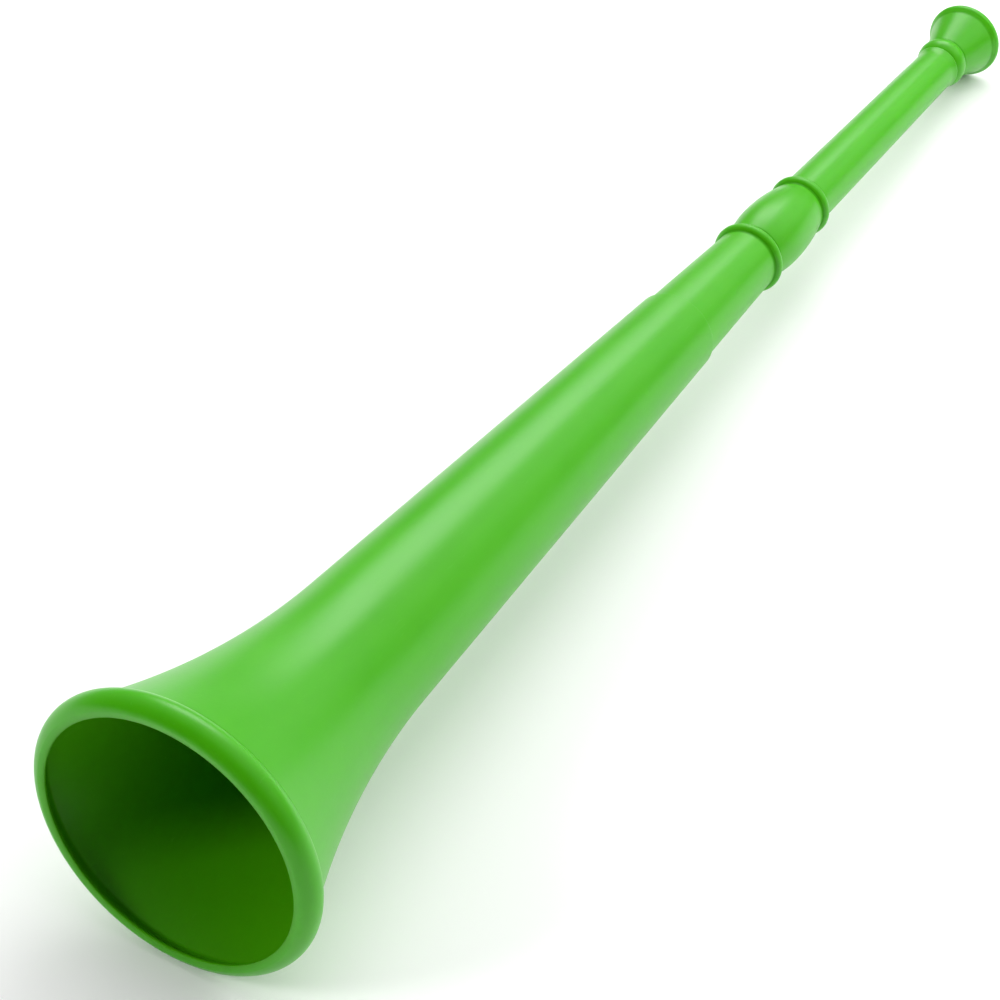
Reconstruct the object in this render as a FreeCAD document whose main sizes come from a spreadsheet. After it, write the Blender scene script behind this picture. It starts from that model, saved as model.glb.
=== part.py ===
import FreeCAD, Part
import math
import os

import Sketcher
from FreeCAD import Vector

# A telescopic stadium horn, lying on a flat surface. It is three round mouldings on one axis:
# a flared bell, a blowpipe that slides into the bell's narrow end, and a mouthpiece plugged
# into the blowpipe. Each is drawn on its own X axis, where a station is the distance from the
# front of the bell, with its radius along Y. One placement then leans all three, so that the
# rim and the mouthpiece's lip both touch the ground.

# Driving dimensions, in millimetres.
SIZES = {
    "horn_length": 650.0,
    "slide_clearance": 0.05,
    # bell
    "bell_length": 352.0,
    "bell_wall": 1.4,
    "neck_radius": 18.0,
    "neck_edge_round": 0.45,
    "flare_start": 120.0,
    "flare_start_radius": 28.9,
    "flare_front_radius": 55.2,
    "rim_radius": 57.0,
    "rim_station": 6.0,
    "rim_end_station": 10.6,
    "rim_root_round": 0.8,
    "opening_radius": 50.0,
    "opening_station": 0.1,
    "opening_round": 0.6,
    "lip_depth": 1.8,
    "lip_root_round": 1.0,
    "socket_radius": 17.05,
    "socket_length": 20.0,
    # blowpipe
    "spigot_length": 18.0,
    "taper": 0.045,
    "pipe_wall": 1.4,
    "front_ring_station": 418.5,
    "front_ring_radius": 16.1,
    "front_ring_bead": 2.3,
    "front_neck_station": 421.0,
    "front_neck_radius": 12.5,
    "bulge_station": 440.0,
    "bulge_radius": 15.4,
    "rear_neck_station": 464.5,
    "rear_neck_radius": 12.6,
    "rear_ring_station": 468.3,
    "rear_ring_radius": 14.1,
    "rear_ring_bead": 2.6,
    "upper_tube_radius": 11.7,
    "pipe_flare_station": 610.0,
    "pipe_flare_radius": 9.95,
    "pipe_end_station": 616.0,
    "pipe_end_radius": 10.9,
    "pipe_end_round": 0.9,
    # mouthpiece
    "shank_radius": 8.8,
    "shank_length": 14.0,
    "throat_radius": 6.5,
    "throat_station": 629.0,
    "collar_edge_radius": 10.0,
    "collar_radius": 11.8,
    "collar_length": 9.2,
    "cup_station": 626.2,
    "cup_radius": 10.2,
    "cup_front_radius": 16.9,
    "bowl_radius": 13.0,
    "lip_radius": 17.7,
    "lip_bead": 2.5,
}

# Dimensions that the second sheet works out from the driving ones.
WORKED_OUT = {
    # bell
    "rim_rise": "sizes.rim_radius - sizes.opening_radius",
    "rim_run": "sizes.rim_station - sizes.opening_station",
    "rim_roll": "(rim_rise ^ 2 + rim_run ^ 2) / (2 * rim_rise)",
    "rim_middle_radius": "sizes.rim_radius - rim_roll",
    "rim_end_radius": "rim_middle_radius"
                      " + sqrt(rim_roll ^ 2 - (sizes.rim_end_station - sizes.rim_station) ^ 2)",
    "flare_start_inside": "sizes.flare_start_radius - sizes.bell_wall",
    "flare_front_inside": "sizes.flare_front_radius - sizes.bell_wall",
    "socket_station": "sizes.bell_length - sizes.socket_length",
    "socket_root_radius": "sizes.socket_radius + sizes.socket_length * sizes.taper",
    # blowpipe
    "pipe_station": "sizes.bell_length - sizes.spigot_length",
    "spigot_radius": "sizes.socket_radius - sizes.slide_clearance + sizes.spigot_length * sizes.taper",
    "spigot_inside": "spigot_radius - sizes.pipe_wall",
    "front_ring_root": "spigot_radius - (sizes.front_ring_station - pipe_station) * sizes.taper",
    "front_ring_inside": "front_ring_root - sizes.pipe_wall",
    "front_ring_middle": "sizes.front_ring_radius - sizes.front_ring_bead",
    "front_neck_inside": "sizes.front_neck_radius - sizes.pipe_wall",
    "bulge_inside": "sizes.bulge_radius - sizes.pipe_wall",
    "rear_neck_inside": "sizes.rear_neck_radius - sizes.pipe_wall",
    "rear_ring_middle": "sizes.rear_ring_radius - sizes.rear_ring_bead",
    "upper_tube_inside": "sizes.upper_tube_radius - sizes.pipe_wall",
    "shank_socket_radius": "sizes.shank_radius + sizes.slide_clearance",
    "shank_socket_station": "shank_station - sizes.slide_clearance",
    "shank_stop_radius": "sizes.pipe_flare_radius - sizes.pipe_wall",
    # mouthpiece
    "collar_station": "sizes.pipe_end_station + sizes.slide_clearance",
    "shank_station": "collar_station - sizes.shank_length",
    "collar_crest_station": "collar_station + sizes.collar_length / 2",
    "collar_end_station": "collar_station + sizes.collar_length",
    "lip_station": "sizes.horn_length - sizes.lip_bead",
    "lip_middle_radius": "sizes.lip_radius - sizes.lip_bead",
    # how the horn lies: the rim and the lip touch the ground, and its box is centred over the origin
    "bead_spacing": "lip_station - sizes.rim_station",
    "bead_drop": "rim_middle_radius - lip_middle_radius",
    "bead_excess": "rim_roll - sizes.lip_bead",
    "lean": "atan(bead_drop / bead_spacing) + asin(bead_excess / sqrt(bead_spacing ^ 2 + bead_drop ^ 2))",
    "front_height": "rim_roll + rim_middle_radius * cos(lean) + sizes.rim_station * sin(lean)",
    "front_distance": "(sizes.rim_station + lip_station) / 2 * cos(lean) - bead_drop / 2 * sin(lean)"
                      " - bead_excess / 2",
}

ORIGIN, START, END, CENTRE = -1, 1, 2, 3
ACROSS = Vector(0, 0, 1)

document = FreeCAD.newDocument("StadiumHorn")


def make_sheet(name, cells):
    """A spreadsheet with one cell a row: its name in column A, and what it holds in column B."""
    sheet = document.addObject("Spreadsheet::Sheet", name)
    for row, (alias, content) in enumerate(cells.items(), start=1):
        sheet.set(f"A{row}", alias)
        sheet.setAlias(f"B{row}", alias)
        sheet.set(f"B{row}", content)
    return sheet


sizes = make_sheet("sizes", {alias: str(size) for alias, size in SIZES.items()})
worked_out = make_sheet("worked_out", {alias: f"={formula}" for alias, formula in WORKED_OUT.items()})
document.recompute()


def sheet_of(alias):
    return sizes if alias in SIZES else worked_out


def bind(thing, path, alias):
    """Tie a property, or one of a sketch's constraints, to a named cell."""
    thing.setExpression(path, f"{sheet_of(alias).Name}.{alias}")


def value(alias):
    """What a named cell holds now, as a plain number."""
    held = sheet_of(alias).get(alias)
    return float(getattr(held, "Value", held))


def point(station, radius):
    return Vector(value(station), value(radius), 0)


def make_body(label):
    body = document.addObject("PartDesign::Body", label)
    body.Label = label
    return body


def origin_feature(body, role):
    return next(feature for feature in body.Origin.OriginFeatures if feature.Role == role)


def make_sketch(body, name):
    sketch = body.newObject("Sketcher::SketchObject", name)
    sketch.AttachmentSupport = [(origin_feature(body, "XY_Plane"), "")]
    sketch.MapMode = "FlatFace"
    return sketch


def hold(sketch, kind, geometry, alias):
    """Add a dimension to a sketch and tie it to a named cell."""
    number = sketch.addConstraint(Sketcher.Constraint(kind, *geometry, value(alias)))
    bind(sketch, f"Constraints[{number}]", alias)


def hold_point(sketch, edge, vertex, station, radius):
    """Fix a vertex of an edge at a named station and radius."""
    hold(sketch, "DistanceX", (ORIGIN, START, edge, vertex), station)
    hold(sketch, "DistanceY", (ORIGIN, START, edge, vertex), radius)


def centre_at(station, first, last):
    """The centre, at a given station, of the circle through two points."""
    middle = (first + last) / 2
    chord = last - first
    return Vector(station, middle.y - chord.x * (station - middle.x) / chord.y, 0)


def centre_beside(line, touching, other):
    """The centre of the circle that is tangent to a line at one point and passes through another."""
    square = Vector(-line.y, line.x, 0).normalize()
    chord = other - touching
    return touching + square * (chord.dot(chord) / (2 * chord.dot(square)))


def arc_about(centre, first, last):
    """The shorter arc about a centre from first to last, and which of its vertices lie on them.
    A sketch's arcs run anticlockwise, so this one may have to start at last."""
    circle = Part.Circle(centre, ACROSS, (first - centre).Length)
    at_first = math.atan2(first.y - centre.y, first.x - centre.x)
    at_last = math.atan2(last.y - centre.y, last.x - centre.x)
    turn = (at_last - at_first) % math.tau
    if turn < math.pi:
        return Part.ArcOfCircle(circle, at_first, at_first + turn), (START, END)
    return Part.ArcOfCircle(circle, at_last, at_last + math.tau - turn), (END, START)


def draw_outline(body, name, corners, arcs):
    """A closed outline. Each corner is a station and a radius, both named cells, and an edge runs
    from it to the next corner. The edges named in arcs, by the number of their first corner, are
    arcs: ("peak", cell) has its centre at that station, and ("leaves", edge) is tangent to that
    straight edge where they meet."""
    sketch = make_sketch(body, name)
    points = [point(*cells) for cells in corners]
    following = points[1:] + points[:1]
    vertices = []
    for number, (first, last) in enumerate(zip(points, following)):
        if number not in arcs:
            sketch.addGeometry(Part.LineSegment(first, last), False)
            vertices.append((START, END))
            continue
        kind, detail = arcs[number]
        if kind == "peak":
            centre = centre_at(value(detail), first, last)
        elif detail > number:
            centre = centre_beside(following[detail] - points[detail], last, first)
        else:
            centre = centre_beside(following[detail] - points[detail], first, last)
        arc, ends = arc_about(centre, first, last)
        sketch.addGeometry(arc, False)
        vertices.append(ends)
    for number, cells in enumerate(corners):
        before = number - 1 if number else len(corners) - 1
        smooth = arcs.get(number) == ("leaves", before) or arcs.get(before) == ("leaves", number)
        kind = "Tangent" if smooth else "Coincident"
        joined = (before, vertices[before][1], number, vertices[number][0])
        sketch.addConstraint(Sketcher.Constraint(kind, *joined))
        hold_point(sketch, number, vertices[number][0], *cells)
    for number, (kind, detail) in arcs.items():
        if kind == "peak":
            hold(sketch, "DistanceX", (ORIGIN, START, number, CENTRE), detail)
    return sketch


def draw_bead(body, name, station, radius, bead):
    """The section of a round bead: one circle."""
    sketch = make_sketch(body, name)
    sketch.addGeometry(Part.Circle(point(station, radius), ACROSS, value(bead)), False)
    hold_point(sketch, 0, CENTRE, station, radius)
    hold(sketch, "Radius", (0,), bead)
    return sketch


def revolve(body, name, sketch):
    """Turn a section all the way round the horn's axis, and add it to the body."""
    revolution = body.newObject("PartDesign::Revolution", name)
    revolution.Profile = sketch
    revolution.ReferenceAxis = (sketch, ["H_Axis"])
    revolution.Angle = 360.0
    document.recompute()
    return revolution


def edge_near(feature, station, radius):
    """The name of the circular edge about the axis that is nearest to a station and a radius."""
    def distance(edge):
        return math.hypot(edge.Curve.Center.x - station, edge.Curve.Radius - radius)

    circles = {
        f"Edge{number}": distance(edge)
        for number, edge in enumerate(feature.Shape.Edges, start=1)
        if isinstance(edge.Curve, Part.Circle) and abs(edge.Curve.Axis.x) > 0.999
    }
    return min(circles, key=circles.get)


def round_edge(body, name, feature, station, radius, size):
    """Fillet the circular edge that is nearest to a station and a radius."""
    fillet = body.newObject("PartDesign::Fillet", name)
    fillet.Base = (feature, [edge_near(feature, station, radius)])
    fillet.Radius = value(size)
    bind(fillet, "Radius", size)
    document.recompute()
    return fillet


def make_bell():
    """The flared front section, with its rolled rim and the tapered socket for the blowpipe."""
    body = make_body("bell")
    shell_corners = [
        ("rim_station", "flare_front_radius"),
        ("flare_start", "flare_start_radius"),
        ("bell_length", "neck_radius"),
        ("bell_length", "socket_radius"),
        ("socket_station", "socket_root_radius"),
        ("flare_start", "flare_start_inside"),
        ("rim_station", "flare_front_inside"),
    ]
    shell_arcs = {0: ("leaves", 1), 5: ("leaves", 4)}
    revolve(body, "bell_shell", draw_outline(body, "bell_section", shell_corners, shell_arcs))
    rim_corners = [
        ("opening_station", "opening_radius"),
        ("rim_station", "rim_radius"),
        ("rim_end_station", "rim_end_radius"),
        ("rim_station", "flare_front_inside"),
        ("lip_depth", "flare_front_inside"),
        ("lip_depth", "opening_radius"),
    ]
    rim_arcs = {edge: ("peak", "rim_station") for edge in (0, 1)}
    rim = revolve(body, "bell_rim", draw_outline(body, "rim_section", rim_corners, rim_arcs))
    rounded = [
        ("rim_root", "rim_end_station", "flare_front_inside", "rim_root_round"),
        ("lip_root", "lip_depth", "flare_front_inside", "lip_root_round"),
        ("lip_back", "lip_depth", "opening_radius", "opening_round"),
        ("lip_front", "opening_station", "opening_radius", "opening_round"),
        ("neck_edge", "bell_length", "neck_radius", "neck_edge_round"),
    ]
    latest = rim
    for name, station, radius, size in rounded:
        latest = round_edge(body, name, latest, value(station), value(radius), size)
    return body


def make_blowpipe():
    """The sliding rear section: spigot, ring, bulged grip, ring, upper tube and flared end."""
    body = make_body("blowpipe")
    corners = [
        ("pipe_station", "spigot_radius"),
        ("front_ring_station", "front_ring_root"),
        ("front_neck_station", "front_neck_radius"),
        ("bulge_station", "bulge_radius"),
        ("rear_neck_station", "rear_neck_radius"),
        ("rear_ring_station", "upper_tube_radius"),
        ("pipe_flare_station", "pipe_flare_radius"),
        ("pipe_end_station", "pipe_end_radius"),
        ("pipe_end_station", "shank_socket_radius"),
        ("shank_socket_station", "shank_socket_radius"),
        ("shank_socket_station", "shank_stop_radius"),
        ("rear_ring_station", "upper_tube_inside"),
        ("rear_neck_station", "rear_neck_inside"),
        ("bulge_station", "bulge_inside"),
        ("front_neck_station", "front_neck_inside"),
        ("front_ring_station", "front_ring_inside"),
        ("pipe_station", "spigot_inside"),
    ]
    arcs = {edge: ("peak", "bulge_station") for edge in (2, 3, 12, 13)}
    arcs[6] = ("leaves", 5)
    tube = revolve(body, "pipe_shell", draw_outline(body, "pipe_section", corners, arcs))
    front = ("front_ring_station", "front_ring_middle", "front_ring_bead")
    rear = ("rear_ring_station", "rear_ring_middle", "rear_ring_bead")
    revolve(body, "front_ring", draw_bead(body, "front_ring_section", *front))
    rings = revolve(body, "rear_ring", draw_bead(body, "rear_ring_section", *rear))
    round_edge(body, "pipe_end", rings, value("pipe_end_station"), value("pipe_end_radius"),
               "pipe_end_round")
    return body


def make_mouthpiece():
    """The plug-in mouthpiece: shank, collar, conical cup and rounded lip."""
    body = make_body("mouthpiece")
    corners = [
        ("shank_station", "throat_radius"),
        ("shank_station", "shank_radius"),
        ("collar_station", "shank_radius"),
        ("collar_station", "collar_edge_radius"),
        ("collar_crest_station", "collar_radius"),
        ("collar_end_station", "collar_edge_radius"),
        ("cup_station", "cup_radius"),
        ("lip_station", "cup_front_radius"),
        ("lip_station", "bowl_radius"),
        ("throat_station", "throat_radius"),
    ]
    arcs = {
        3: ("peak", "collar_crest_station"),
        4: ("peak", "collar_crest_station"),
        8: ("peak", "lip_station"),
    }
    revolve(body, "cup_shell", draw_outline(body, "cup_section", corners, arcs))
    lip = ("lip_station", "lip_middle_radius", "lip_bead")
    revolve(body, "lip", draw_bead(body, "lip_section", *lip))
    return body


def lay_down(body):
    """Lean the horn's axis so that the rim and the lip touch the ground, at height 0."""
    axis = Vector(0, 1, 0)
    angle = value("lean")
    base = Vector(-value("front_distance"), 0, value("front_height"))
    body.Placement = FreeCAD.Placement(base, FreeCAD.Rotation(axis, angle))
    body.setExpression("Placement.Base.x", "-worked_out.front_distance")
    bind(body, "Placement.Base.z", "front_height")
    bind(body, "Placement.Rotation.Angle", "lean")


bodies = [make_bell(), make_blowpipe(), make_mouthpiece()]
for body in bodies:
    lay_down(body)
document.recompute()

failed = [item.Name for item in document.Objects if {"Invalid", "Error"} & set(item.State)]
if failed:
    raise RuntimeError(f"these objects failed to build: {failed}")
for body in bodies:
    if body.Shape.isNull() or not body.Shape.isValid() or len(body.Shape.Solids) != 1:
        raise RuntimeError(f"{body.Label} is not one valid solid")

os.makedirs("parts", exist_ok=True)
for body in bodies:
    body.Shape.exportStep(f"parts/{body.Label}.step")
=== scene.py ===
import math

import bpy
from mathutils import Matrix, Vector


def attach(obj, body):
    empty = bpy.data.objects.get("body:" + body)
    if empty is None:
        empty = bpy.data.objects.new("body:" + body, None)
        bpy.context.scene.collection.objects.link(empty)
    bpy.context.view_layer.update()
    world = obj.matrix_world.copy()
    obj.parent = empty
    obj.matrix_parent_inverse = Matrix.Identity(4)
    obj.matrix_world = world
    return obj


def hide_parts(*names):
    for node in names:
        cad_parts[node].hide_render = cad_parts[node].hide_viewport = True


# A telescopic stadium horn in green plastic, lying on a white floor. Its three mouldings are
# lathed here from the same named dimensions as the CAD model, with every corner softened.
# A profile is a list of (station, radius) pairs in millimetres: a station is the distance from
# the front of the bell along the horn's own axis.

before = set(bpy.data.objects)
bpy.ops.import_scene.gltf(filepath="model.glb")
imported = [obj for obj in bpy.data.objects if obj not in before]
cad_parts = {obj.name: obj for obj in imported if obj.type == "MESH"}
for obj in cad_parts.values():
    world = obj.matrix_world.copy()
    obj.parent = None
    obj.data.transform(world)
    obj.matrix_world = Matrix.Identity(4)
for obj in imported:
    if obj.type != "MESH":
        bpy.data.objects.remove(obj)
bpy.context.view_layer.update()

MM = 0.001

HORN_LENGTH = 650.0
SLIDE_CLEARANCE = 0.05

# The bell
BELL_LENGTH = 352.0
BELL_WALL = 1.4
NECK_RADIUS = 18.0
FLARE_START = 120.0
FLARE_START_RADIUS = 28.9
FLARE_FRONT_RADIUS = 55.2
RIM_RADIUS = 57.0
RIM_STATION = 6.0
OPENING_RADIUS = 50.0
OPENING_STATION = 0.1
LIP_DEPTH = 1.8
SOCKET_RADIUS = 17.05
SOCKET_LENGTH = 20.0

# The blowpipe
SPIGOT_LENGTH = 18.0
TAPER = 0.045
PIPE_WALL = 1.4
FRONT_RING_STATION = 418.5
FRONT_RING_RADIUS = 16.1
FRONT_RING_BEAD = 2.3
FRONT_NECK_STATION = 421.0
FRONT_NECK_RADIUS = 12.5
BULGE_STATION = 440.0
BULGE_RADIUS = 15.4
BULGE_OVERLAP = 2.5
REAR_NECK_STATION = 464.5
REAR_NECK_RADIUS = 12.6
REAR_RING_STATION = 468.3
REAR_RING_RADIUS = 14.1
REAR_RING_BEAD = 2.6
UPPER_TUBE_RADIUS = 11.7
PIPE_FLARE_STATION = 610.0
PIPE_FLARE_RADIUS = 9.95
PIPE_END_STATION = 616.0
PIPE_END_RADIUS = 10.9

# The mouthpiece
SHANK_RADIUS = 8.8
SHANK_LENGTH = 14.0
THROAT_RADIUS = 6.5
THROAT_STATION = 629.0
COLLAR_EDGE_RADIUS = 10.0
COLLAR_RADIUS = 11.8
COLLAR_LENGTH = 9.2
CUP_STATION = 626.2
CUP_RADIUS = 10.2
CUP_FRONT_RADIUS = 16.9
BOWL_RADIUS = 13.0
LIP_RADIUS = 17.7
LIP_BEAD = 2.5

# Radii that soften the corners between two runs of a profile
SHARP = 0.0
RIM_CREASE = 0.8
UNDERCUT_CREASE = 1.0
OPENING_CORNER = 0.6
NECK_CORNER = 0.45
SOCKET_CORNER = 0.2
FRONT_RING_CREASE = 1.0
BULGE_CREASE = 0.7
REAR_RING_CREASE = 0.9
PIPE_END_CORNER = 0.9
PIPE_SOCKET_CORNER = 0.25
BORE_CORNER = 0.6
SPIGOT_BORE_CORNER = 0.2
SPIGOT_CORNER = 0.3
SHANK_CORNER = 0.3
SHANK_BORE_CORNER = 0.2
COLLAR_FRONT_CORNER = 0.25
COLLAR_BACK_CORNER = 0.5
GROOVE_CREASE = 0.4
CUP_CREASE = 3.0
BOWL_CORNER = 0.8

# How the horn lies: its rim and its lip touch the floor.
RIM_RISE = RIM_RADIUS - OPENING_RADIUS
RIM_ROLL = (RIM_RISE**2 + (RIM_STATION - OPENING_STATION) ** 2) / (2 * RIM_RISE)
RIM_MIDDLE = RIM_RADIUS - RIM_ROLL
LIP_STATION = HORN_LENGTH - LIP_BEAD
LIP_MIDDLE = LIP_RADIUS - LIP_BEAD
SPACING = LIP_STATION - RIM_STATION
DROP = RIM_MIDDLE - LIP_MIDDLE
LEAN = math.atan(DROP / SPACING) + math.asin((RIM_ROLL - LIP_BEAD) / math.hypot(SPACING, DROP))
AXIS = Vector((math.cos(LEAN), 0, -math.sin(LEAN)))
OUTWARD = Vector((math.sin(LEAN), 0, math.cos(LEAN)))
ACROSS = Vector((0, 1, 0))
FRONT = Vector((
    -((RIM_STATION + LIP_STATION) / 2 * math.cos(LEAN) - DROP / 2 * math.sin(LEAN)
      - (RIM_ROLL - LIP_BEAD) / 2),
    0,
    RIM_ROLL + RIM_MIDDLE * math.cos(LEAN) + RIM_STATION * math.sin(LEAN),
))

# Where the camera stands and how it looks at the horn, in metres, radians and, for the lens and
# the sensor, millimetres
HEADING = math.radians(31.02)
PITCH = math.radians(41.14)
LENS = 102.5
SENSOR = 36.0
EYE = Vector((-0.8033, -0.4162, 0.7538))
RIGHT = Vector((math.sin(HEADING), -math.cos(HEADING), 0))
AHEAD = Vector((math.cos(HEADING), math.sin(HEADING), 0))

# The surroundings' brightness at the horizon and overhead, and how much of it is left on the dim
# side and in reflections. They turn dim where a ray points more and more in the dim side's
# direction. The backdrop is what the camera sees behind the floor.
HORIZON = 0.93
ZENITH = 1.6
DIM_SIDE = 0.05
DIM_DIRECTION = (AHEAD * -0.85 - RIGHT * 0.5).normalized()
DIM_FROM = -0.4
DIM_TO = 0.5
REFLECTED = 0.15
BACKDROP = 1.2

# In metres: half the floor's side, and the height of the point that the lights face
HALF_FLOOR = 6.0
HORN_HEIGHT = 0.05


# ---------------------------------------------------------------------------------------------
# Profiles
# ---------------------------------------------------------------------------------------------

def line(first, last, steps):
    """Points from first to last, closer together near both ends, so that shading stays flat."""
    shares = [0.5 - 0.5 * math.cos(math.pi * step / steps) for step in range(steps + 1)]
    return [tuple(a + (b - a) * share for a, b in zip(first, last)) for share in shares]


def arc(centre, first, last, steps):
    """Points on the shorter arc about a centre, from first to last."""
    radius = math.dist(centre, first)
    start = math.atan2(first[1] - centre[1], first[0] - centre[0])
    end = math.atan2(last[1] - centre[1], last[0] - centre[0])
    turn = (end - start + math.pi) % math.tau - math.pi
    angles = [start + turn * step / steps for step in range(steps + 1)]
    return [(centre[0] + radius * math.cos(a), centre[1] + radius * math.sin(a)) for a in angles]


def crest(station, first, last, steps, early=0.0):
    """An arc from first to last whose centre is at a given station. It can start early, that
    much before first."""
    chord = last[0] - first[0], last[1] - first[1]
    middle = (first[0] + last[0]) / 2, (first[1] + last[1]) / 2
    centre = station, middle[1] - chord[0] * (station - middle[0]) / chord[1]
    radius = math.dist(centre, first)
    start = math.asin((first[0] - early - station) / radius)
    first = station + radius * math.sin(start), centre[1] + radius * math.cos(start)
    return arc(centre, first, last, steps)


def flare(line_end, touching, other, steps):
    """An arc from touching to other that leaves the line from line_end to touching smoothly."""
    along = touching[0] - line_end[0], touching[1] - line_end[1]
    length = math.hypot(*along)
    square = -along[1] / length, along[0] / length
    chord = other[0] - touching[0], other[1] - touching[1]
    reach = math.hypot(*chord) ** 2 / (2 * (chord[0] * square[0] + chord[1] * square[1]))
    centre = touching[0] + square[0] * reach, touching[1] + square[1] * reach
    return arc(centre, touching, other, steps)


def bead(station, radius, size, start, end, steps=28):
    """A round bead's section, between two angles in degrees from the axis's direction."""
    angles = [math.radians(start + (end - start) * step / steps) for step in range(steps + 1)]
    return [(station + size * math.cos(a), radius + size * math.sin(a)) for a in angles]


def trim(before, after):
    """Cut two runs of points where they first cross, and end them both there."""
    parallel = 1e-12
    for i, (a, b) in enumerate(zip(before, before[1:])):
        for j in range(len(after) - 1, 0, -1):
            c, d = after[j - 1], after[j]
            ab = b[0] - a[0], b[1] - a[1]
            cd = d[0] - c[0], d[1] - c[1]
            cross = ab[0] * cd[1] - ab[1] * cd[0]
            if abs(cross) < parallel:
                continue
            gap = c[0] - a[0], c[1] - a[1]
            t = (gap[0] * cd[1] - gap[1] * cd[0]) / cross
            u = (gap[0] * ab[1] - gap[1] * ab[0]) / cross
            if 0 <= t <= 1 and 0 <= u <= 1:
                meeting = a[0] + ab[0] * t, a[1] + ab[1] * t
                return before[:i + 1] + [meeting], [meeting] + after[j:]
    raise ValueError("these runs don't cross")


def shortened(run, length):
    """A run of points with a length cut off its end."""
    left = length
    for index in range(len(run) - 1, 0, -1):
        step = math.dist(run[index], run[index - 1])
        if step > left:
            share = left / step
            end = tuple(b + (a - b) * share for a, b in zip(run[index - 1], run[index]))
            return run[:index] + [end]
        left -= step
    raise ValueError("the run is too short to round")


def unit(a, b):
    """The direction from one point to another."""
    length = math.dist(a, b)
    return (b[0] - a[0]) / length, (b[1] - a[1]) / length


def rounding(start, before, end, after, radius, bend):
    """Points inside a curve that replaces a corner of a given bend. It leaves start in the
    direction before, and reaches end in the direction after."""
    steps = 8
    handle = 4 / 3 * math.tan(bend / 4) * radius
    p = start[0] + before[0] * handle, start[1] + before[1] * handle
    q = end[0] - after[0] * handle, end[1] - after[1] * handle
    curve = []
    for step in range(1, steps):
        t = step / steps
        weights = (1 - t) ** 3, 3 * t * (1 - t) ** 2, 3 * t * t * (1 - t), t**3
        curve.append(tuple(
            sum(weight * point[k] for weight, point in zip(weights, (start, p, q, end)))
            for k in (0, 1)))
    return curve


def closed_profile(runs):
    """Join runs into one closed profile. Each run comes with the radius that softens the corner
    at its end, which is SHARP where the corner stays as it is."""
    same_point = 1e-6
    rounded = [list(run) for run, _ in runs]
    corners = []
    for index, (_, radius) in enumerate(runs):
        following = (index + 1) % len(runs)
        if radius == SHARP:
            corners.append([])
            continue
        before = unit(rounded[index][-2], rounded[index][-1])
        after = unit(rounded[following][0], rounded[following][1])
        bend = math.acos(max(-1.0, min(1.0, before[0] * after[0] + before[1] * after[1])))
        cut = radius * math.tan(bend / 2)
        rounded[index] = shortened(rounded[index], cut)
        rounded[following] = shortened(rounded[following][::-1], cut)[::-1]
        start, end = rounded[index][-1], rounded[following][0]
        before = unit(rounded[index][-2], start)
        after = unit(end, rounded[following][1])
        corners.append(rounding(start, before, end, after, radius, bend))
    points = []
    for run, curve in zip(rounded, corners):
        for point in run + curve:
            if not points or math.dist(point, points[-1]) > same_point:
                points.append(point)
    if math.dist(points[0], points[-1]) < same_point:
        points.pop()
    return points


def bell_profile():
    """The bell's section: round its rim, back along the outside, and forward again inside."""
    opening = OPENING_STATION, OPENING_RADIUS
    rim = RIM_STATION, RIM_RADIUS
    flare_front = RIM_STATION, FLARE_FRONT_RADIUS
    flare_back = FLARE_START, FLARE_START_RADIUS
    neck = BELL_LENGTH, NECK_RADIUS
    socket_edge = BELL_LENGTH, SOCKET_RADIUS
    socket_root = BELL_LENGTH - SOCKET_LENGTH, SOCKET_RADIUS + SOCKET_LENGTH * TAPER
    inside_back = FLARE_START, FLARE_START_RADIUS - BELL_WALL
    inside_front = RIM_STATION, FLARE_FRONT_RADIUS - BELL_WALL
    lip_root = LIP_DEPTH, inside_front[1]
    lip_edge = LIP_DEPTH, OPENING_RADIUS
    roll_front = crest(RIM_STATION, opening, rim, 22)
    roll_back = bead(RIM_STATION, RIM_MIDDLE, RIM_ROLL, start=90, end=0, steps=30)
    outside = flare(neck, flare_back, flare_front, 90)[::-1]
    roll_back, outside = trim(roll_back, outside)
    return closed_profile([
        (roll_front + roll_back[1:], RIM_CREASE),
        (outside, SHARP),
        (line(flare_back, neck, 40), NECK_CORNER),
        (line(neck, socket_edge, 4), SOCKET_CORNER),
        (line(socket_edge, socket_root, 12), SHARP),
        (line(socket_root, inside_back, 30), SHARP),
        (flare(socket_root, inside_back, inside_front, 80), SHARP),
        (line(inside_front, lip_root, 6), UNDERCUT_CREASE),
        (line(lip_root, lip_edge, 6), OPENING_CORNER),
        (line(lip_edge, opening, 6), OPENING_CORNER),
    ])


def pipe_radius(station):
    """The outside of the blowpipe's long front cone."""
    spigot = SOCKET_RADIUS - SLIDE_CLEARANCE + SPIGOT_LENGTH * TAPER
    return spigot - (station - (BELL_LENGTH - SPIGOT_LENGTH)) * TAPER


def ring(station, radius, size, end):
    """A moulded ring's section, from inside the run before it to inside the run after it."""
    return bead(station, radius - size, size, start=200, end=end)


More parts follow.
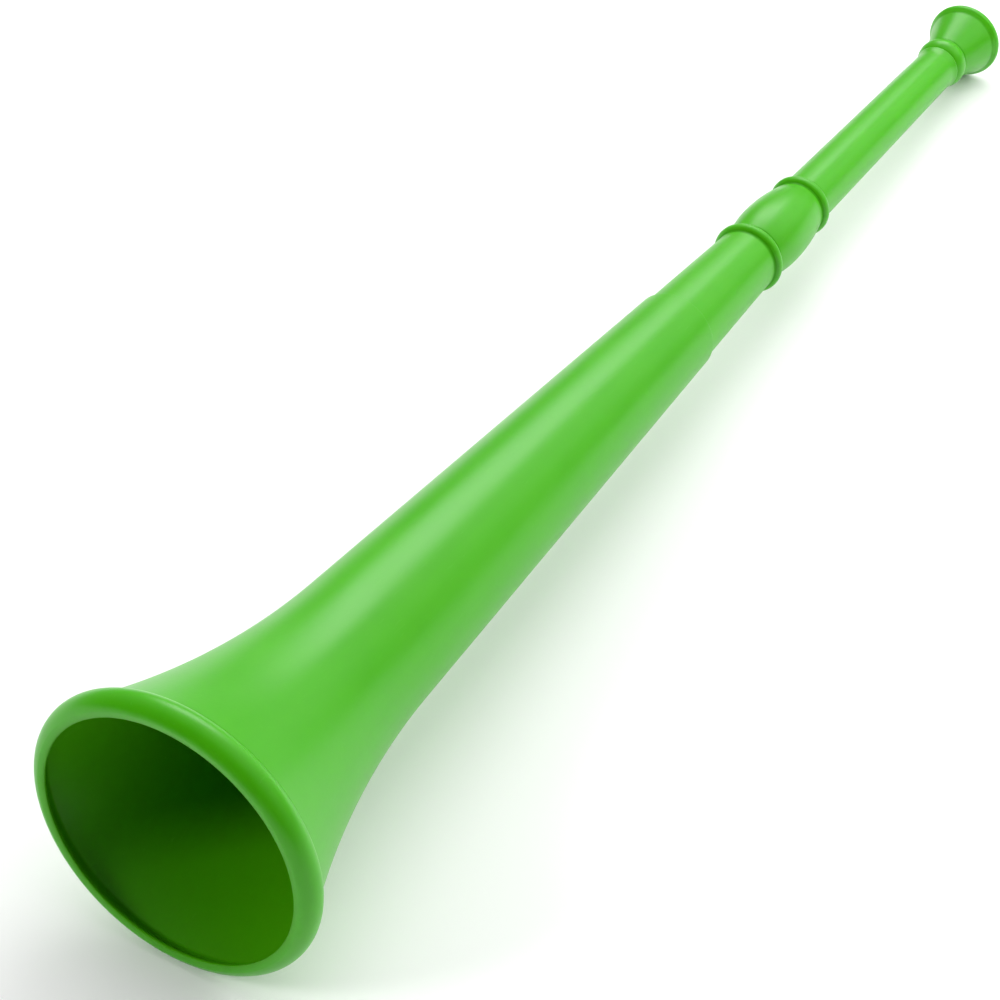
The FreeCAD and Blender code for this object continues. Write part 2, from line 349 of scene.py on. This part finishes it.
def pipe_profile():
    """The blowpipe's section: back along the outside, and forward again through the bore."""
    start = BELL_LENGTH - SPIGOT_LENGTH
    spigot = start, pipe_radius(start)
    front_root = FRONT_RING_STATION, pipe_radius(FRONT_RING_STATION)
    front_neck = FRONT_NECK_STATION, FRONT_NECK_RADIUS
    bulge = BULGE_STATION, BULGE_RADIUS
    rear_neck = REAR_NECK_STATION, REAR_NECK_RADIUS
    tube_start = REAR_RING_STATION, UPPER_TUBE_RADIUS
    tube_end = PIPE_FLARE_STATION, PIPE_FLARE_RADIUS
    pipe_end = PIPE_END_STATION, PIPE_END_RADIUS

    cone = line(spigot, front_root, 40)
    front_ring = ring(FRONT_RING_STATION, FRONT_RING_RADIUS, FRONT_RING_BEAD, end=-60)
    front_rise = crest(BULGE_STATION, front_neck, bulge, 26, early=BULGE_OVERLAP)
    rear_fall = crest(BULGE_STATION, bulge, rear_neck, 30)
    rear_step = line(rear_neck, tube_start, 8)
    rear_ring = ring(REAR_RING_STATION, REAR_RING_RADIUS, REAR_RING_BEAD, end=-20)
    tube = line(tube_start, tube_end, 40)
    cone, front_ring = trim(cone, front_ring)
    front_ring, front_rise = trim(front_ring, front_rise)
    grip, rear_ring = trim(front_rise + rear_fall[1:] + rear_step[1:], rear_ring)
    rear_ring, tube = trim(rear_ring, tube)

    socket_edge = PIPE_END_STATION, SHANK_RADIUS + SLIDE_CLEARANCE
    socket_root = PIPE_END_STATION - SHANK_LENGTH, SHANK_RADIUS + SLIDE_CLEARANCE
    stop = PIPE_END_STATION - SHANK_LENGTH, PIPE_FLARE_RADIUS - PIPE_WALL
    inside_tube = REAR_RING_STATION, UPPER_TUBE_RADIUS - PIPE_WALL
    inside_rear = REAR_NECK_STATION, REAR_NECK_RADIUS - PIPE_WALL
    inside_bulge = BULGE_STATION, BULGE_RADIUS - PIPE_WALL
    inside_front = FRONT_NECK_STATION, FRONT_NECK_RADIUS - PIPE_WALL
    inside_ring = FRONT_RING_STATION, front_root[1] - PIPE_WALL
    inside_start = start, spigot[1] - PIPE_WALL
    return closed_profile([
        (cone, FRONT_RING_CREASE),
        (front_ring, BULGE_CREASE),
        (grip, REAR_RING_CREASE),
        (rear_ring, REAR_RING_CREASE),
        (tube, SHARP),
        (flare(tube_start, tube_end, pipe_end, 12), PIPE_END_CORNER),
        (line(pipe_end, socket_edge, 4), PIPE_SOCKET_CORNER),
        (line(socket_edge, socket_root, 8), SHARP),
        (line(socket_root, stop, 2), SHARP),
        (line(stop, inside_tube, 20), BORE_CORNER),
        (line(inside_tube, inside_rear, 4), BORE_CORNER),
        (crest(BULGE_STATION, inside_rear, inside_bulge, 16), SHARP),
        (crest(BULGE_STATION, inside_bulge, inside_front, 16), BORE_CORNER),
        (line(inside_front, inside_ring, 4), BORE_CORNER),
        (line(inside_ring, inside_start, 24), SPIGOT_BORE_CORNER),
        (line(inside_start, spigot, 4), SPIGOT_CORNER),
    ])


def mouthpiece_profile():
    """The mouthpiece's section: back along the outside to the lip, and forward again through the
    bowl and the throat."""
    collar = PIPE_END_STATION + SLIDE_CLEARANCE
    collar_middle = collar + COLLAR_LENGTH / 2
    shank = collar - SHANK_LENGTH
    shank_bore = shank, THROAT_RADIUS
    shank_edge = shank, SHANK_RADIUS
    shank_root = collar, SHANK_RADIUS
    collar_front = collar, COLLAR_EDGE_RADIUS
    collar_top = collar_middle, COLLAR_RADIUS
    collar_back = collar + COLLAR_LENGTH, COLLAR_EDGE_RADIUS
    cup_root = CUP_STATION, CUP_RADIUS
    throat = THROAT_STATION, THROAT_RADIUS
    collar_run = crest(collar_middle, collar_front, collar_top, 12)
    collar_run += crest(collar_middle, collar_top, collar_back, 12)[1:]
    cup = line(cup_root, (LIP_STATION, CUP_FRONT_RADIUS), 24)
    lip = bead(LIP_STATION, LIP_MIDDLE, LIP_BEAD, start=200, end=-130, steps=48)
    bowl = crest(LIP_STATION, (LIP_STATION, BOWL_RADIUS), throat, 36)
    cup, lip = trim(cup, lip)
    lip, bowl = trim(lip, bowl)
    return closed_profile([
        (line(shank_bore, shank_edge, 4), SHANK_CORNER),
        (line(shank_edge, shank_root, 8), SHARP),
        (line(shank_root, collar_front, 3), COLLAR_FRONT_CORNER),
        (collar_run, COLLAR_BACK_CORNER),
        (line(collar_back, cup_root, 3), GROOVE_CREASE),
        (cup, CUP_CREASE),
        (lip, BOWL_CORNER),
        (bowl, BOWL_CORNER),
        (line(throat, shank_bore, 12), SHANK_BORE_CORNER),
    ])


# ---------------------------------------------------------------------------------------------
# Meshes
# ---------------------------------------------------------------------------------------------

def surface_marks(profile, seam):
    """For each point of a closed profile: how much it stands out as an edge, from -1 in a crease
    or in the seam beside another piece to 1, and how much it faces the axis, from 0 to 1. The
    material turns both into painted shade in creases, at the seam and inside, and the high
    edge values into paler edges, partly wear and partly a painted highlight."""
    reach = 1.2
    seam_reach = 1.1
    full_edge = 0.35
    edge_and_crease_mark, inward = [], []
    count = len(profile)
    for index, (station, radius) in enumerate(profile):
        ends = []
        for step in (-1, 1):
            travelled, at = 0.0, index
            while travelled < reach:
                following = (at + step) % count
                travelled += math.dist(profile[at], profile[following])
                at = following
            ends.append(profile[at])
        middle = (ends[0][0] + ends[1][0]) / 2, (ends[0][1] + ends[1][1]) / 2
        along = ends[1][0] - ends[0][0], ends[1][1] - ends[0][1]
        length = math.hypot(*along)
        bulge = ((station - middle[0]) * -along[1] + (radius - middle[1]) * along[0]) / length
        beside = max(0.0, 1.0 - abs(station - seam) / seam_reach)
        edge_and_crease_mark.append(max(-1.0, min(1.0, bulge / full_edge)) * (1.0 - beside) - beside)
        inward.append(max(0.0, -along[0] / length))
    return edge_and_crease_mark, inward


def lathe(name, body, profile, segments, seam):
    """Turn a closed profile about the horn's axis, and let it stand for the CAD node of its body.
    The seam is the station where the piece meets the next one."""
    area = sum(a[0] * b[1] - b[0] * a[1] for a, b in zip(profile, profile[1:] + profile[:1]))
    if area > 0:
        profile = profile[::-1]
    count = len(profile)
    vertices = []
    for segment in range(segments):
        angle = math.tau * segment / segments
        radial = OUTWARD * math.cos(angle) + ACROSS * math.sin(angle)
        for station, radius in profile:
            vertices.append((FRONT + AXIS * station + radial * radius) * MM)
    faces = []
    for segment in range(segments):
        this, beyond = segment * count, (segment + 1) % segments * count
        for index in range(count):
            after = (index + 1) % count
            faces.append((this + index, beyond + index, beyond + after, this + after))
    mesh = bpy.data.meshes.new(name)
    mesh.from_pydata(vertices, [], faces)
    mesh.shade_smooth()
    mesh.validate()
    for attribute, marks in zip(("edge_and_crease", "inward"), surface_marks(profile, seam)):
        values = mesh.attributes.new(attribute, "FLOAT", "POINT")
        values.data.foreach_set("value", marks * segments)
    piece = bpy.data.objects.new(name, mesh)
    bpy.context.collection.objects.link(piece)
    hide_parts(body)
    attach(piece, body)
    return piece


# ---------------------------------------------------------------------------------------------
# Materials
# ---------------------------------------------------------------------------------------------

def shade(*srgb):
    """A linear colour from sRGB numbers between 0 and 255."""
    linear = [c / 255 / 12.92 if c < 11 else ((c / 255 + 0.055) / 1.055) ** 2.4 for c in srgb]
    return (*linear, 1.0)


GREEN = shade(68, 170, 3)
LIGHTER_GREEN = shade(73, 176, 6)
MOTTLE_GREEN = shade(74, 184, 12)
FLOW_GREEN = shade(52, 154, 2)
# Paler edges: partly wear, partly a painted highlight
WORN_AND_HIGHLIGHT_GREEN = shade(110, 210, 80)
# Painted shade: the inside of the bell is coloured darker
PAINTED_INSIDE_SHADE_GREEN = shade(70, 148, 3)
# Painted shade in the creases and in the seam between pieces
PAINTED_CREASE_SHADE_GREEN = shade(36, 120, 6)
SCRATCH_GREEN = shade(120, 215, 90)
FLOOR_WHITE = (0.90, 0.90, 0.90, 1.0)
FLOOR_LIGHTER_WHITE = (0.92, 0.92, 0.92, 1.0)
WHITE = (1.0, 1.0, 1.0, 1.0)


class Nodes:
    """A short way to add nodes to a node tree and link them."""

    def __init__(self, tree):
        self.tree = tree

    def add(self, kind, settings=None, **inputs):
        node = self.tree.nodes.new(f"ShaderNode{kind}")
        for key, setting in (settings or {}).items():
            setattr(node, key, setting)
        for key, given in inputs.items():
            self.feed(node.inputs[key.replace("_", " ")], given)
        return node

    def feed(self, socket, given):
        """Link an output to a socket, or set the socket to a value."""
        if isinstance(given, bpy.types.NodeSocket):
            self.tree.links.new(given, socket)
        else:
            socket.default_value = given

    def maths(self, operation, *values):
        node = self.add("Math", {"operation": operation})
        for socket, given in zip(node.inputs, values):
            self.feed(socket, given)
        return node.outputs[0]

    def plus(self, total, extra, amount):
        """A total with an amount of something extra added to it."""
        return self.maths("MULTIPLY_ADD", extra, amount, total)

    def mix(self, share, first, second):
        node = self.add("Mix", {"data_type": "RGBA", "clamp_factor": True})
        for key, given in zip(("Factor", "A", "B"), (share, first, second)):
            self.feed(node.inputs[key], given)
        return node.outputs["Result"]

    def spread(self, source, low, high, to_low=0.0, to_high=1.0):
        """A smooth step: to_low where the source is low, to_high where it is high."""
        node = self.add("MapRange", {"clamp": True, "interpolation_type": "SMOOTHSTEP"})
        for key, given in zip(("Value", "From Min", "From Max", "To Min", "To Max"),
                              (source, low, high, to_low, to_high)):
            self.feed(node.inputs[key], given)
        return node.outputs["Result"]

    def moved(self, where, **inputs):
        return self.add("Mapping", Vector=where, **inputs).outputs[0]

    def noise(self, where, scale, detail=2.0, roughness=0.5):
        node = self.add("TexNoise", Vector=where, Scale=scale, Detail=detail, Roughness=roughness)
        return node.outputs["Fac"]

    def attribute(self, name):
        return self.add("Attribute", {"attribute_name": name}).outputs["Fac"]

    def facing(self, where, direction):
        """How far a ray points in a direction, from -1 to 1."""
        node = self.add("VectorMath", {"operation": "DOT_PRODUCT"})
        for socket, given in zip(node.inputs, (where, direction)):
            self.feed(socket, given)
        return node.outputs["Value"]


def new_material(name):
    """A material without nodes, and the way to add them."""
    material = bpy.data.materials.new(name)
    material.use_nodes = True
    material.node_tree.nodes.clear()
    return material, Nodes(material.node_tree)


def green_plastic(name, seed, scuffs):
    """Moulded plastic: a slightly uneven green, a fine skin, flow lines, scuffs, and paler edges
    that are partly wear and partly a painted highlight. Painted shade makes it darker and less
    glossy inside the bell, in the creases and in the seam beside the next piece. The seed moves
    the pattern, and scuffs says how much the plastic is scratched."""
    material, nodes = new_material(name)
    place = nodes.add("TexCoord").outputs["Object"]
    place = nodes.moved(place, Location=(seed, seed * 0.7, -seed))
    drawn_out = nodes.moved(nodes.moved(place, Rotation=(0, -LEAN, 0)), Scale=(0.06, 1, 1))
    scratched = nodes.moved(place, Rotation=(0.3, 0.5, 0.7), Scale=(9, 160, 90))

    clouds = nodes.noise(place, scale=14.0, detail=3.0)
    mottle = nodes.noise(place, scale=170.0, detail=5.0, roughness=0.6)
    flow = nodes.noise(drawn_out, scale=210.0, detail=3.0, roughness=0.55)
    dust = nodes.noise(place, scale=900.0)
    skin = nodes.noise(place, scale=620.0)
    scratches = nodes.noise(scratched, scale=9.0, detail=5.0, roughness=0.75)
    scratch = nodes.spread(scratches, 0.60, 0.72)

    edge_and_crease_mark = nodes.attribute("edge_and_crease")
    edge = nodes.spread(edge_and_crease_mark, 0.35, 1.3)
    # Paler edges in patches, partly wear and partly a painted highlight
    worn_and_highlight = nodes.maths("MULTIPLY", edge, nodes.spread(mottle, 0.35, 0.65, 0.25, 1.0))
    # Painted shade in the creases and in the seam beside the next piece
    painted_crease_shade = nodes.spread(edge_and_crease_mark, -0.15, -1.0)
    # Painted shade: surfaces that face the axis, inside the bell, are coloured darker
    inward = nodes.attribute("inward")

    colour = nodes.mix(nodes.spread(clouds, 0.3, 0.7), GREEN, LIGHTER_GREEN)
    for share, strength, tint in (
        (nodes.spread(mottle, 0.45, 0.75), 0.10, MOTTLE_GREEN),
        (nodes.spread(flow, 0.35, 0.65), 0.06, FLOW_GREEN),
        (worn_and_highlight, 0.10, WORN_AND_HIGHLIGHT_GREEN),
        (inward, 0.7, PAINTED_INSIDE_SHADE_GREEN),
        (painted_crease_shade, 0.5, PAINTED_CREASE_SHADE_GREEN),
        (scratch, 0.12 * scuffs, SCRATCH_GREEN),
    ):
        colour = nodes.mix(nodes.maths("MULTIPLY", share, strength), colour, tint)

    roughness = nodes.spread(clouds, 0.3, 0.7, 0.30, 0.35)
    for source, amount in ((dust, 0.03), (worn_and_highlight, 0.05), (scratch, 0.12 * scuffs)):
        roughness = nodes.plus(roughness, source, amount)

    # Painted shade: less gloss in the creases, at the seam and inside the bell
    gloss = nodes.plus(0.5, painted_crease_shade, -0.35)
    gloss = nodes.plus(gloss, inward, -0.25)

    height = skin
    for source, amount in ((flow, 0.7), (clouds, 3.0), (scratch, -0.5 * scuffs)):
        height = nodes.plus(height, source, amount)
    bump = nodes.add("Bump", Height=height, Strength=0.35, Distance=0.00004)

    plastic = nodes.add(
        "BsdfPrincipled", Base_Color=colour, Roughness=roughness, Normal=bump.outputs["Normal"],
        IOR=1.42, Specular_IOR_Level=gloss, Subsurface_Weight=0.18,
        Subsurface_Radius=(0.35, 1.0, 0.2), Subsurface_Scale=0.003)
    nodes.add("OutputMaterial", Surface=plastic.outputs[0])
    return material


def white_floor():
    """Matt white paper with a faint grain. It glows a little, so that it stays white."""
    material, nodes = new_material("white_floor")
    place = nodes.add("TexCoord").outputs["Object"]
    colour = nodes.mix(nodes.noise(place, scale=3.0, detail=3.0), FLOOR_WHITE, FLOOR_LIGHTER_WHITE)
    grain = nodes.noise(place, scale=500.0)
    bump = nodes.add("Bump", Height=grain, Strength=0.1, Distance=0.0001)
    paper = nodes.add(
        "BsdfPrincipled", Base_Color=colour, Roughness=0.9, Normal=bump.outputs["Normal"],
        Specular_IOR_Level=0.1, Emission_Color=WHITE, Emission_Strength=0.06)
    nodes.add("OutputMaterial", Surface=paper.outputs[0])
    return material


# ---------------------------------------------------------------------------------------------
# Floor, light and camera
# ---------------------------------------------------------------------------------------------

def add_floor():
    mesh = bpy.data.meshes.new("floor")
    corners = [(x * HALF_FLOOR, y * HALF_FLOOR, 0) for x, y in ((-1, -1), (1, -1), (1, 1), (-1, 1))]
    mesh.from_pydata(corners, [], [(0, 1, 2, 3)])
    mesh.materials.append(white_floor())
    floor = bpy.data.objects.new("floor", mesh)
    bpy.context.collection.objects.link(floor)


def add_camera():
    camera = bpy.data.objects.new("camera", bpy.data.cameras.new("camera"))
    camera.location = EYE
    camera.rotation_euler = (math.pi / 2 - PITCH, 0, HEADING - math.pi / 2)
    camera.data.sensor_width = SENSOR
    camera.data.lens = LENS
    camera.data.clip_start = 0.01
    camera.data.clip_end = 50.0
    bpy.context.collection.objects.link(camera)
    bpy.context.scene.camera = camera


def studio():
    """White surroundings: brightest overhead, dim in front of the bell, and dimmer in reflections,
    so that the highlights stand out from the plastic's own colour. The backdrop itself is white."""
    world = bpy.data.worlds.new("studio")
    world.use_nodes = True
    nodes = Nodes(world.node_tree)
    where = nodes.add("TexCoord").outputs["Generated"]
    ray = nodes.add("LightPath").outputs
    height = nodes.spread(nodes.facing(where, (0, 0, 1)), 0.0, 1.0, HORIZON, ZENITH)
    side = nodes.spread(nodes.facing(where, DIM_DIRECTION), DIM_FROM, DIM_TO, 1.0, DIM_SIDE)
    seen = nodes.plus(1.0, ray["Is Glossy Ray"], REFLECTED - 1.0)
    strength = nodes.maths("MULTIPLY", nodes.maths("MULTIPLY", height, side), seen)
    backdrop = nodes.maths("MULTIPLY", ray["Is Camera Ray"], BACKDROP)
    background = world.node_tree.nodes["Background"]
    nodes.feed(background.inputs["Color"], WHITE)
    nodes.feed(background.inputs["Strength"], nodes.maths("MAXIMUM", strength, backdrop))
    return world


def softbox(name, direction, distance, size, power, lights=True, shines=True, along=0.0):
    """A rectangular light that faces a place along the horn, in metres from its middle. Its
    direction is given as right, ahead and up, seen from the camera. It lights surfaces, shines in
    them as a highlight, or both."""
    right, ahead, up = direction
    towards = (RIGHT * right + AHEAD * ahead + Vector((0, 0, up))).normalized()
    light = bpy.data.lights.new(name, "AREA")
    light.shape = "RECTANGLE"
    light.size, light.size_y = size
    light.energy = power
    box = bpy.data.objects.new(name, light)
    box.location = Vector((along, 0, HORN_HEIGHT)) + towards * distance
    box.rotation_euler = towards.to_track_quat("Z", "Y").to_euler()
    box.visible_camera = False
    box.visible_diffuse = lights
    box.visible_glossy = shines
    bpy.context.collection.objects.link(box)


# ---------------------------------------------------------------------------------------------
# The scene
# ---------------------------------------------------------------------------------------------

for body, profile, segments, seam, seed, scuffs in (
    ("bell", bell_profile(), 256, BELL_LENGTH, 0.0, 1.0),
    ("blowpipe", pipe_profile(), 160, PIPE_END_STATION, 3.1, 0.8),
    ("mouthpiece", mouthpiece_profile(), 160, PIPE_END_STATION, 7.7, 0.5),
):
    piece = lathe(f"{body}_moulding", body, profile, segments, seam)
    piece.data.materials.append(green_plastic(f"{piece.name}_plastic", seed, scuffs))

add_floor()
add_camera()
softbox("back", direction=(0.12, 0.75, 0.65), distance=2.6, size=(1.6, 1.3), power=31.0,
        lights=False, along=-0.12)
softbox("left", direction=(-0.85, -0.38, 0.66), distance=2.2, size=(0.6, 0.6), power=15.0,
        shines=False)
softbox("right", direction=(1.0, 0.35, 0.6), distance=1.4, size=(0.9, 0.9), power=7.5,
        shines=False)
softbox("far_end", direction=(0.1, 0.3, 0.95), distance=0.75, size=(0.7, 0.7), power=2.9,
        shines=False, along=0.25)
softbox("haze", direction=(0.66, 0.35, 0.66), distance=0.4, size=(0.4, 0.4), power=0.4,
        lights=False, along=0.3)
bpy.context.scene.world = studio()
bpy.context.scene.view_settings.view_transform = "Standard"
